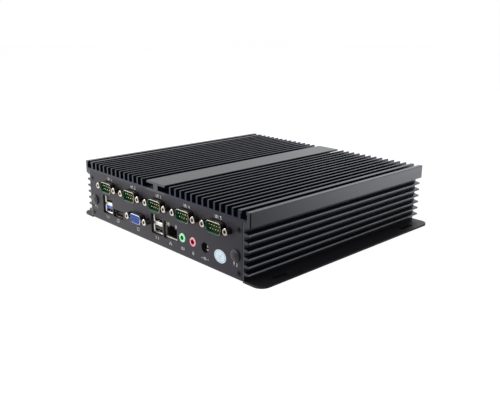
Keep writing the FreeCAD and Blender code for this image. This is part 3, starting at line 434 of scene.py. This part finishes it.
can_plate = plated("can_plate", (0.86, 0.83, 0.78), 0.38, streak=(1.0, 6.0, 1.0))
tongue_blue = moulded("tongue_blue", (0.045, 0.165, 0.640), roughness=0.38)
tongue_black = moulded("tongue_black", (0.020, 0.020, 0.021))
dress(can_plate, "usb3_shell", "usb2_shell")
dress(tongue_blue, "usb3_lower_tongue")
dress(tongue_black, "usb3_upper_tongue", "usb2_tongues")


def strip_tree(name, material):
    """Tree that lays a flat strip along each path, rounding the path's corners."""
    start = start_tree(name, ["Width", "Thickness", "Bend"])
    paths = start.node("GeometryNodeMeshToCurve", {}, {"Mesh": start})
    bent = start.node(
        "GeometryNodeFilletCurve",
        {"mode": "POLY"},
        {"Curve": paths, "Count": 3, "Radius": size_of(start, "Bend"), "Limit Radius": True},
    )
    upright = start.node("GeometryNodeSetCurveNormal", {"mode": "Z_UP"}, {"Curve": bent})
    section = start.node(
        "GeometryNodeCurvePrimitiveQuadrilateral",
        {},
        {"Width": size_of(start, "Width"), "Height": size_of(start, "Thickness")},
    )
    laid = start.node(
        "GeometryNodeCurveToMesh", {}, {"Curve": upright, "Profile Curve": section, "Fill Caps": True}
    )
    return end_tree(laid, material)


def strips(name, paths, tree, sizes):
    """Flat strips along paths, each a list of points."""
    points = []
    edges = []
    for path in paths:
        first = len(points)
        points.extend(path)
        edges.extend((first + i, first + i + 1) for i in range(len(path) - 1))
    return grown(name, points, edges, tree, sizes)


# Painted shade: the contacts' gold is darkened for the shade inside the ports.
contact_gold = plated("contact_gold", (0.62, 0.46, 0.24), 0.26)
gold_strips = strip_tree("gold_strips", contact_gold)
can_springs = strip_tree("can_springs", can_plate)
usb_contact = {"Width": 0.0010, "Thickness": 0.00018, "Bend": 0.0003}
usb_spring = {"Width": 0.0021, "Thickness": 0.00025, "Bend": 0.0012}
contact_offsets = (-0.0035, -0.0010, 0.0010, 0.0035)
spring_offsets = (-0.0032, 0.0032)
spring_shape = ((0.0110, 0.0), (0.0052, 0.0012), (0.0022, 0.0002))
can_wall = 0.00095
opening_height = 0.0051
blade_gap = 0.00025
blade_thickness = 0.00225
blade_setback = 0.0007
block_front = 0.0125
nose_rise = 0.0004
half_contact = usb_contact["Thickness"] / 2
usb_contact_paths = []
usb_spring_paths = []
for shell in ("usb3_shell", "usb2_shell"):
    low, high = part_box(shell)
    middle = middle_of(shell).x
    back = low.y + block_front
    nose = low.y + blade_setback - half_contact
    for floor in (low.z + can_wall, high.z - can_wall - opening_height):
        under = floor + opening_height - blade_gap - blade_thickness - half_contact
        for offset in contact_offsets:
            x = middle + offset
            usb_contact_paths.append([(x, back, under), (x, nose, under), (x, nose, under + nose_rise)])
        for offset in spring_offsets:
            x = middle + offset
            usb_spring_paths.append([(x, low.y + inset, floor + rise) for inset, rise in spring_shape])
usb_contacts = strips("usb_contacts", usb_contact_paths, gold_strips, usb_contact)
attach(usb_contacts, "case")
usb_springs = strips("usb_springs", usb_spring_paths, can_springs, usb_spring)
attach(usb_springs, "case")

# Slim digital video port: a folded can with cut lower corners round a thin black tongue.
# Ten gold strips lie on the tongue and nine under it.

dress(can_plate, "hdmi_shell")
dress(tongue_black, "hdmi_tongue")
slim_contact = {"Width": 0.00045, "Thickness": 0.00012, "Bend": 0.0001}
slim_pitch = 0.0010
slim_tongue = 0.0014
slim_ends = (0.0066, 0.0014)
slim_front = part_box("hdmi_shell")[0].y
slim_middle = middle_of("hdmi_shell")
slim_paths = []
for count, side in ((10, 1), (9, -1)):
    z = slim_middle.z + side * (slim_tongue + slim_contact["Thickness"]) / 2
    for i in range(count):
        x = slim_middle.x + slim_pitch * (i - (count - 1) / 2)
        slim_paths.append([(x, slim_front + inset, z) for inset in slim_ends])
slim_video_contacts = strips("slim_video_contacts", slim_paths, gold_strips, slim_contact)
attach(slim_video_contacts, "case")

# Network jack: a plated can round a black moulded body, with eight sprung gold wires in its mouth.
# Two frosted lenses sit in its upper corners, dull yellow on the left and grey lilac on the right.

dress(can_plate, "lan_shell")
dress(socket_black, "lan_body")
dress(contact_gold, "lan_contacts")
lens_pair, point = start_finish("lens_pair")
right_lens = place_along(point, "X") > middle_of("lan_lamps").x
frost = grains(point, 0.0006, detail=3.0)
yellow = tint(frost, (0.27, 0.26, 0.14), (0.42, 0.40, 0.25))
end_finish(
    point,
    {
        "Base Color": tint(right_lens, yellow, (0.25, 0.24, 0.29)),
        "Roughness": 0.18 + 0.2 * frost,
        "Coat Weight": 0.5,
    },
)
dress(lens_pair, "lan_lamps")

# Audio jacks: one moulded block each, pale green for the speakers and pink for the microphone.
# The round nose comes through the wall, and two sprung contacts lie in the bore.

audio_bore = 0.0018
bore_edge = 0.00005
rim_start = 0.0004
rim_end = 0.0012
axis_rise = 0.0057


def off_axis(point, axis, scale=(1.0, 0.0, 1.0)):
    """Distance from a line along y through axis, in metres or on a scale of its own in x and z."""
    centred = point.node("ShaderNodeMapping", {}, {"Vector": point, "Location": -axis})
    spread = centred.node("ShaderNodeVectorMath", {"operation": "MULTIPLY"}, {0: centred, 1: scale})
    return spread.node("ShaderNodeVectorMath", {"operation": "LENGTH"}, {0: spread}, "Value")


def jack_axis(jack):
    return Vector((middle_of(jack).x, 0.0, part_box(jack)[0].z + axis_rise))


def jack_finish(name, jack, colour, deep):
    """Glossy moulded plastic, a painted highlight paler at its edge, painted shade deeper in the bore.
    """
    painted_rim_highlight = [0.45 + 0.55 * c for c in colour]
    material, point = start_finish(name)
    radius = off_axis(point, jack_axis(jack))
    grain = grains(point, 0.00025, detail=3.0)
    # Painted highlight towards the nose's rounded edge, and painted shade inside the bore.
    face = tint(ramp(radius, audio_bore + rim_start, audio_bore + rim_end), colour, painted_rim_highlight)
    end_finish(
        point,
        {
            "Base Color": tint(radius < audio_bore + bore_edge, face, deep),
            "Roughness": 0.28 + 0.12 * grain,
            "Normal": relief(grain, 0.00001),
        },
    )
    dress(material, jack)


jack_finish("speaker_green", "speaker_jack", (0.240, 0.880, 0.380), (0.020, 0.480, 0.110))
jack_finish("microphone_pink", "microphone_jack", (0.860, 0.130, 0.230), (0.420, 0.003, 0.045))
jack_leaf = {"Width": 0.0009, "Thickness": 0.00015, "Bend": 0.0015}
leaf_sink = 0.0002
leaf_shape = ((0.0110, 0.0), (0.0075, 0.0007), (0.0055, 0.0))
jack_paths = []
for jack in ("speaker_jack", "microphone_jack"):
    jack_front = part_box(jack)[0].y
    axis = jack_axis(jack)
    for side in (-1, 1):
        wall = axis.z + side * (audio_bore - leaf_sink)
        jack_paths.append([(axis.x, jack_front + inset, wall - side * bow) for inset, bow in leaf_shape])
jack_leaves = strips("jack_leaves", jack_paths, can_springs, jack_leaf)
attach(jack_leaves, "case")

# Power inlet: a black moulded block with a round well, soldered to the board behind the wall.
# A nickel-plated centre pin stands in the well, and a leaf contact lies along its side.

dress(moulded("inlet_black", (0.012, 0.012, 0.013), roughness=0.40), "inlet_body")
dress(plated("inlet_nickel", (0.74, 0.71, 0.66), 0.22), "inlet_contacts")

# Antenna plugs: domed plugs of soft black rubber, one near each end of the connector wall.
# They are snapped into the holes left for antennas.

dress(moulded("plug_rubber", (0.018, 0.0172, 0.0205), roughness=0.36, sheen=0.16), "antenna_plugs")

# Power switch on the rear wall: turned steel bezel, nut and barrel with a sprung steel button.
# Their faces are turned, so fine rings run round the switch's axis.

button_middle = middle_of("power_button")
switch_axis = Vector((button_middle.x, 0.0, button_middle.z))
turned_steel, point = start_finish("turned_steel")
ring_place = point.node("ShaderNodeCombineXYZ", {}, {"X": off_axis(point, switch_axis)})
rings = grains(ring_place, 0.00016, detail=3.0)
end_finish(
    point,
    {
        "Base Color": tint(grains(point, 0.004), (0.44, 0.44, 0.45), (0.60, 0.60, 0.60)),
        "Metallic": 1.0,
        "Roughness": 0.20 + 0.22 * rings,
        "Normal": relief(rings, 0.00001),
    },
)
dress(turned_steel, "switch_body", "switch_nut", "power_button")

# Indicator lamps: two green lenses of cast epoxy beside the power switch.
# They are pressed through the rear wall from inside.

lens_green, point = start_finish("lens_green")
frost = grains(point, 0.0008)
end_finish(
    point,
    {
        "Base Color": tint(frost, (0.10, 0.34, 0.12), (0.20, 0.52, 0.22)),
        "Roughness": 0.12 + 0.12 * frost,
        "Coat Weight": 0.6,
    },
)
dress(lens_green, "indicator_lamps")

# Heatsinks: aluminium extrusions, one along each side and one for the lid, cut and anodised black.
# The die leaves fine lines along them. The side fins' tips carry a paler painted highlight, and
# the lid's fins are given painted shade: they shine less, and more blue, than its flat strip and its
# edges.


def anodised(point, index, sheen, tip_highlight=None):
    """Shader of dyed aluminium: its sealed skin's index, its gloss's tint and its painted tip highlight.
    """
    die_lines = grains(point, 0.0005, stretch=(1.0, 120.0, 1.0), detail=3.0)
    cloud = grains(point, 0.012, stretch=(1.0, 3.0, 1.0))
    etch = grains(point, 0.0004, detail=3.0)
    dye_and_highlight = tint(cloud, (0.0030, 0.0036, 0.0060), (0.0070, 0.0078, 0.0120))
    # Painted highlight: a paler colour where the mask is set.
    if tip_highlight is not None:
        dye_and_highlight = tint(tip_highlight, dye_and_highlight, (0.290, 0.300, 0.320))
    return point.node(
        "ShaderNodeBsdfPrincipled",
        {},
        {
            "Base Color": dye_and_highlight,
            "Roughness": 0.20 + 0.14 * die_lines + 0.10 * etch,
            "IOR": index,
            "Specular Tint": (*sheen, 1.0),
            "Normal": relief(0.7 * die_lines + 0.3 * etch, 0.000012),
        },
    )


def off_middle(point, axis):
    """Distance from the object's middle along an axis, to either side."""
    place = place_along(point, axis)
    return place.reckon("ABSOLUTE", place)


# Painted highlight along the side fins' tips, paler in colour.
fin_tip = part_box("right_side_heatsink")[1].x
tip_highlight_start = fin_tip - 0.0006
tip_highlight_end = fin_tip - 0.0001
side_black, point = start_finish("side_black")
tip_highlight_mask = ramp(off_middle(point, "X"), tip_highlight_start, tip_highlight_end)
show(anodised(point, index=1.75, sheen=(0.86, 0.90, 1.0), tip_highlight=tip_highlight_mask))
dress(side_black, "left_side_heatsink", "right_side_heatsink")

strip_half = 0.01235
edge_band = 0.0034
lid_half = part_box("top_heatsink")[1].x
lid_black, point = start_finish("lid_black")
from_middle = off_middle(point, "X")
# Painted shade: the fins take a copy of the lid's finish with a lower index and bluer gloss.
on_fins = (from_middle > strip_half) * (from_middle < lid_half - edge_band)
flats = anodised(point, index=1.75, sheen=(0.90, 0.915, 1.0))
shaded_fins = anodised(point, index=1.58, sheen=(0.62, 0.68, 1.0))
show(point.node("ShaderNodeMixShader", {}, {0: on_fins, 1: flats, 2: shaded_fins}))
dress(lid_black, "top_heatsink")

# Case screws: countersunk screws through both end walls, and pan screws through the lid into the side
# heatsinks. They are blacked steel, rubbed thin in small patches.

screw_black, point = start_finish("screw_black")
rub = grains(point, 0.0006, detail=3.0)
end_finish(
    point,
    {
        "Base Color": tint(rub, (0.006, 0.006, 0.007), (0.022, 0.022, 0.023)),
        "Metallic": 0.5,
        "Roughness": 0.36 + 0.2 * rub,
        "Normal": relief(rub, 0.00001),
    },
)
dress(screw_black, "wall_screws", "lid_screws")

# Printed marks: plain numbers and simple pictures screen printed on the end walls in pale grey ink.
# Each stroke is a thin flat line of ink on the paint, drawn here in millimetres.

millimetre = 0.001
ink_grey, point = start_finish("ink_grey")
patch = grains(point, 0.0004, detail=4.0)
end_finish(
    point,
    {
        "Base Color": tint(patch, (0.50, 0.50, 0.50), (0.70, 0.70, 0.70)),
        "Roughness": 0.55 + 0.2 * patch,
        "Normal": relief(patch, 0.00001),
    },
)
digit_strokes = {
    "0": [[(0.1, 0.8), (0.3, 1.0), (0.5, 0.8), (0.5, 0.2), (0.3, 0.0), (0.1, 0.2), (0.1, 0.8)]],
    "1": [[(0.15, 0.75), (0.35, 1.0), (0.35, 0.0)]],
    "2": [[(0.05, 0.8), (0.3, 1.0), (0.55, 0.75), (0.05, 0.0), (0.58, 0.0)]],
    "3": [[(0.05, 0.9), (0.3, 1.0), (0.52, 0.76), (0.28, 0.53), (0.55, 0.27), (0.3, 0.0), (0.03, 0.12)]],
    "4": [[(0.44, 0.0), (0.44, 1.0), (0.02, 0.3), (0.6, 0.3)]],
    "5": [[(0.54, 1.0), (0.1, 1.0), (0.07, 0.56), (0.35, 0.62), (0.56, 0.32), (0.3, 0.0), (0.03, 0.1)]],
}


def arc(centre_u, centre_v, radius, first, last):
    """Points along an arc between two angles in degrees."""
    count = 16
    angles = [math.radians(first + (last - first) * i / count) for i in range(count + 1)]
    return [(centre_u + radius * math.cos(a), centre_v + radius * math.sin(a)) for a in angles]


def loop(*corners):
    return list(corners) + [corners[0]]


def number(text, height):
    """Strokes of a row of digits round the origin."""
    step = 0.66 * height
    strokes = []
    for i, digit in enumerate(text):
        left = step * (i - len(text) / 2)
        for stroke in digit_strokes.get(digit, []):
            strokes.append([(left + u * height, (v - 0.5) * height) for u, v in stroke])
    return strokes


screen_picture = [
    loop((-1.5, -0.5), (1.5, -0.5), (1.5, 1.2), (-1.5, 1.2)),
    [(0.0, -0.5), (0.0, -1.0)],
    [(-0.8, -1.0), (0.8, -1.0)],
]
network_picture = [
    loop((-0.5, 0.35), (0.5, 0.35), (0.5, 1.1), (-0.5, 1.1)),
    loop((-1.7, -1.1), (-0.7, -1.1), (-0.7, -0.35), (-1.7, -0.35)),
    loop((0.7, -1.1), (1.7, -1.1), (1.7, -0.35), (0.7, -0.35)),
    [(0.0, 0.35), (0.0, 0.0)],
    [(-1.2, -0.35), (-1.2, 0.0), (1.2, 0.0), (1.2, -0.35)],
]
speaker_picture = [
    loop((-1.5, -0.4), (-0.9, -0.4), (-0.1, -1.1), (-0.1, 1.1), (-0.9, 0.4), (-1.5, 0.4)),
    arc(0.0, 0.0, 0.8, -45, 45),
    arc(0.0, 0.0, 1.5, -45, 45),
]
microphone_picture = [
    arc(0.0, 0.65, 0.4, 0, 180) + arc(0.0, 0.0, 0.4, 180, 360) + [(0.4, 0.65)],
    arc(0.0, 0.0, 0.8, 180, 360),
    [(0.0, -0.8), (0.0, -1.2)],
    [(-0.5, -1.2), (0.5, -1.2)],
]
supply_picture = [
    [(-4.2, 0.0), (-3.4, 0.0)],
    [(-2.8, 0.0), (-1.0, 0.0)],
    arc(0.0, 0.0, 1.0, 40, 320),
    arc(0.0, 0.0, 0.25, 0, 360),
    [(0.25, 0.0), (2.8, 0.0)],
    [(3.4, 0.0), (4.2, 0.0)],
    [(3.8, -0.4), (3.8, 0.4)],
]
antenna_picture = [
    [(0.0, -1.1), (0.0, 1.0)],
    loop((-0.9, 1.0), (0.9, 1.0), (0.0, 0.0)),
]
power_picture = [arc(0.0, 0.0, 1.7, 125, 415), [(0.0, 0.5), (0.0, 2.3)]]
store_picture = [
    arc(0.0, 0.7, 0.9, 0, 360),
    [(-0.9, 0.7), (-0.9, -0.9), (0.9, -0.9), (0.9, 0.7)],
]
ink_strokes = strip_tree("ink_strokes", ink_grey)
ink_line = {"Width": 0.46, "Thickness": 0.04, "Bend": 0.12}
ink_lift = 0.01


def scaled(strokes, factor):
    return [[(u * factor, v * factor) for u, v in stroke] for stroke in strokes]


def printed(name, pictures, face_y, turn, body, tree=ink_strokes, line=ink_line):
    """Ink on a wall at face_y: each picture is (x, z, strokes) in millimetres, as seen from outside."""
    paths = []
    for across, up, strokes in pictures:
        for stroke in strokes:
            paths.append([(across + u, up + v, ink_lift) for u, v in stroke])
    piece = strips(name, paths, tree, line)
    upright = Matrix.Rotation(math.pi / 2, 4, "X")
    outward = Matrix.Rotation(turn, 4, "Z")
    place = Matrix.Translation((0.0, face_y, 0.0)) @ outward @ upright @ Matrix.Scale(millimetre, 4)
    piece.data.transform(place)
    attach(piece, body)


front_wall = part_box("base_tray")[0].y
rear_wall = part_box("base_tray")[1].y
port_mark = 42.1
row_mark = 6.6
antenna_mark = 11.6
rear_mark = 16.6
digit_height = 2.3
front_pictures = [
    (middle.x / millimetre, port_mark, number("101 %d" % n, digit_height))
    for n, middle in zip(serial_ports, serial_middles)
]
front_pictures += [
    (-75.0, row_mark, number("1 2", digit_height)),
    (-58.0, row_mark, scaled(screen_picture, 1.15)),
    (-27.0, row_mark, scaled(screen_picture, 1.15)),
    (0.2, row_mark, number("3 4", digit_height)),
    (18.2, row_mark, network_picture),
    (33.8, row_mark, scaled(speaker_picture, 1.3)),
    (46.8, row_mark, scaled(microphone_picture, 1.15)),
    (60.6, row_mark - 0.5, supply_picture),
    (-95.2, antenna_mark, scaled(antenna_picture, 1.2)),
    (-92.2, antenna_mark - 0.1, number("1", digit_height)),
    (92.6, antenna_mark, scaled(antenna_picture, 1.2)),
    (95.6, antenna_mark - 0.1, number("2", digit_height)),
]
rear_pictures = [
    (-42.0, rear_mark, scaled(power_picture, 0.6)),
    (-30.0, rear_mark, store_picture),
]
button_pictures = [(-switch_axis.x / millimetre, switch_axis.z / millimetre, power_picture)]
printed("front_marks", front_pictures, front_wall, 0.0, "case")
printed("rear_marks", rear_pictures, rear_wall, math.pi, "case")
printed("button_mark", button_pictures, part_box("power_button")[1].y, math.pi, "button")

# Inspection label: a small oval of thin pale film stuck on the connector wall.
# A pale blue ring, a tick and a row of dashes are printed on it over a faint pattern of waves.

label_low, label_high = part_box("inspection_label")
label_middle = middle_of("inspection_label")
label_half = (label_high - label_low) / 2
wave_rate = 60.0
label_film, point = start_finish("label_film")
radius = off_axis(point, label_middle, (1.0 / label_half.x, 0.0, 1.0 / label_half.z))
wave = 0.5 + 0.5 * radius.reckon("SINE", radius * wave_rate)
cloud = grains(point, 0.002, detail=3.0)
end_finish(
    point,
    {
        "Base Color": tint(0.5 * wave + 0.5 * cloud, (0.80, 0.86, 0.90), (0.60, 0.74, 0.84)),
        "Roughness": 0.30 + 0.2 * cloud,
    },
)
dress(label_film, "inspection_label")

label_ink, point = start_finish("label_ink")
patch = grains(point, 0.0003, detail=3.0)
end_finish(
    point,
    {
        "Base Color": tint(patch, (0.22, 0.45, 0.68), (0.38, 0.60, 0.80)),
        "Roughness": 0.45 + 0.2 * patch,
        "Normal": relief(patch, 0.00001),
    },
)
ring_share = 0.84
ring_half = ring_share / millimetre * label_half
ring = [(ring_half.x * u, ring_half.z * v) for u, v in arc(0.0, 0.0, 1.0, 0, 360)]
tick = [(-1.9, 0.6), (-0.5, -0.7), (2.2, 2.1)]
dash_row = -2.0
dash_length = 0.9
dashes = [[(u, dash_row), (u + dash_length, dash_row)] for u in (-2.55, -1.15, 0.25, 1.65)]
printed(
    "label_marks",
    [(label_middle.x / millimetre, label_middle.z / millimetre, [ring, tick] + dashes)],
    label_low.y,
    0.0,
    "case",
    strip_tree("label_strokes", label_ink),
    {"Width": 0.42, "Thickness": 0.03, "Bend": 0.1},
)

# Studio: a wide pale floor and a white surround, which gloss shows darker at the front and the right.
# A wide soft lamp stands at the front left, and a small fill lamp and a back lamp, which gloss does
# not show, stand low at the front right and behind.

floor_half = 4.0
floor_drop = 0.0001
floor_corners = [(-1, -1), (1, -1), (1, 1), (-1, 1)]
floor_mesh = bpy.data.meshes.new("studio_floor")
floor_mesh.from_pydata(
    [(x * floor_half, y * floor_half, -floor_drop) for x, y in floor_corners], [], [(0, 1, 2, 3)]
)
studio_floor = bpy.data.objects.new("studio_floor", floor_mesh)
bpy.context.scene.collection.objects.link(studio_floor)


def ray(tone, kind):
    return tone.node("ShaderNodeLightPath", {}, {}, "Is %s Ray" % kind)


def mirrored_ray(tone):
    """1 on rays that leave a glossy or a clear surface."""
    glossy = ray(tone, "Glossy")
    return glossy.reckon("MAXIMUM", glossy, ray(tone, "Transmission"))


def fading(nearness, start, end, level):
    """1 until nearness passes start, then going smoothly to another level at end."""
    return nearness.node(
        "ShaderNodeMapRange",
        {"interpolation_type": "SMOOTHSTEP"},
        {"Value": nearness, "From Min": start, "From Max": end, "To Min": 1.0, "To Max": level},
    )


def reach(way, side):
    """How far a place or a direction goes towards a side."""
    return way.node("ShaderNodeVectorMath", {"operation": "DOT_PRODUCT"}, {0: way, 1: side}, "Value")


tray_half_x = 0.1185
tray_half_y = 0.094
ear_shade = 0.118
floor_glow = 0.93
mirrored_glow = 1.4
floor_white, point = start_finish("floor_white")
across = place_along(point, "X")
# Painted shadow: under the tray the floor is dark and does not glow, seen through the ear slots.
painted_shadow_under_tray = (off_middle(point, "X") < tray_half_x) * (off_middle(point, "Y") < tray_half_y)
paper = tint(grains(point, 0.05), (0.30, 0.30, 0.30), (0.31, 0.31, 0.31))
matt = point.node("ShaderNodeBsdfDiffuse", {}, {"Color": tint(painted_shadow_under_tray, paper, (0.03, 0.03, 0.03))})
paleness = floor_glow * ray(point, "Camera") * (1.0 - painted_shadow_under_tray)
glow = point.node("ShaderNodeEmission", {}, {"Strength": paleness})
seen = point.node("ShaderNodeAddShader", {}, {0: matt, 1: glow})
table = fading(reach(point, (0.70, -0.72, 0.0)), start=0.02, end=0.27, level=0.04)
behind = fading(place_along(point, "Y"), start=0.0, end=0.3, level=1.5)
# Painted shadow: beside the right ear the floor seen in gloss is dimmed.
near_ear = fading(across, start=0.185, end=0.13, level=0.30)
painted_shade_by_ear = 1.0 - (across > ear_shade) * (1.0 - near_ear)
floor_in_gloss = mirrored_glow * table * behind * painted_shade_by_ear * (1.0 - painted_shadow_under_tray)
mirrored = point.node("ShaderNodeEmission", {}, {"Strength": floor_in_gloss})
show(point.node("ShaderNodeMixShader", {}, {0: mirrored_ray(point), 1: seen, 2: mirrored}))
floor_mesh.materials.append(floor_white)

room_light = 0.25
mirrored_room = 0.92
surround = bpy.data.worlds.new("white_surround")
surround.use_nodes = True
surround.node_tree.nodes.clear()
way = Tone(surround.node_tree).node("ShaderNodeTexCoord", {}, {}, "Generated")
direct = ray(way, "Camera")
room = fading(reach(way, (0.30, -0.95, -0.60)), start=-0.1, end=0.25, level=0.08)
back_wall = fading(reach(way, (0.0, 1.0, 0.0)), start=0.66, end=0.80, level=1.45)
overhead = fading(reach(way, (0.28, 0.66, 0.70)), start=0.86, end=0.97, level=1.7)
right_side = fading(reach(way, (1.0, 0.0, 0.0)), start=-0.45, end=0.05, level=0.30)
room_in_gloss = mirrored_room * back_wall * overhead * right_side
around = room * (room_light + mirrored_ray(way) * (room_in_gloss - room_light))
strength = direct + (1.0 - direct) * around
sky = way.node("ShaderNodeBackground", {}, {"Color": (1.0, 1.0, 1.0, 1.0), "Strength": strength})
way.node("ShaderNodeOutputWorld", {}, {"Surface": sky})
bpy.context.scene.world = surround


def lamp(name, place, width, height, power, in_gloss):
    """Rectangular soft lamp that faces the object, seen or not in glossy surfaces."""
    data = bpy.data.lights.new(name, "AREA")
    data.shape = "RECTANGLE"
    data.size = width
    data.size_y = height
    data.energy = power
    made = bpy.data.objects.new(name, data)
    made.location = place
    made.rotation_euler = (-made.location).to_track_quat("-Z", "Y").to_euler()
    made.visible_glossy = in_gloss
    bpy.context.scene.collection.objects.link(made)


lamp("soft_lamp", (-0.85, -1.0, 0.62), width=2.0, height=1.1, power=15.2, in_gloss=True)
lamp("fill_lamp", (0.45, -1.2, 0.12), width=0.6, height=0.2, power=7.6, in_gloss=False)
lamp("back_lamp", (-0.35, 1.2, 0.15), width=0.8, height=0.25, power=11.0, in_gloss=False)

# Camera: at the photograph's place, to the right of the connector wall and a little above the lid.
# Its angles, distance and lens were solved from the spacing of the jackscrews.

azimuth = math.radians(46.274)
elevation = math.radians(16.201)
roll = math.radians(0.472)
distance = 0.569594
target = Vector((-0.003165, 0.0, 0.016879))
level = math.cos(elevation)
back = Vector((math.sin(azimuth) * level, -math.cos(azimuth) * level, math.sin(elevation)))
level_right = Vector((0.0, 0.0, 1.0)).cross(back).normalized()
level_up = back.cross(level_right)
right = level_right * math.cos(roll) + level_up * math.sin(roll)
up = level_up * math.cos(roll) - level_right * math.sin(roll)
lens = bpy.data.cameras.new("photo_camera")
lens.lens = 44.46
lens.sensor_width = 36.0
lens.sensor_fit = "HORIZONTAL"
lens.clip_start = 0.01
lens.clip_end = 50.0
camera = bpy.data.objects.new("photo_camera", lens)
turned = Matrix((right, up, back)).transposed().to_4x4()
camera.matrix_world = Matrix.Translation(target + back * distance) @ turned
bpy.context.scene.collection.objects.link(camera)
bpy.context.scene.camera = camera
bpy.context.scene.view_settings.view_transform = "Standard"
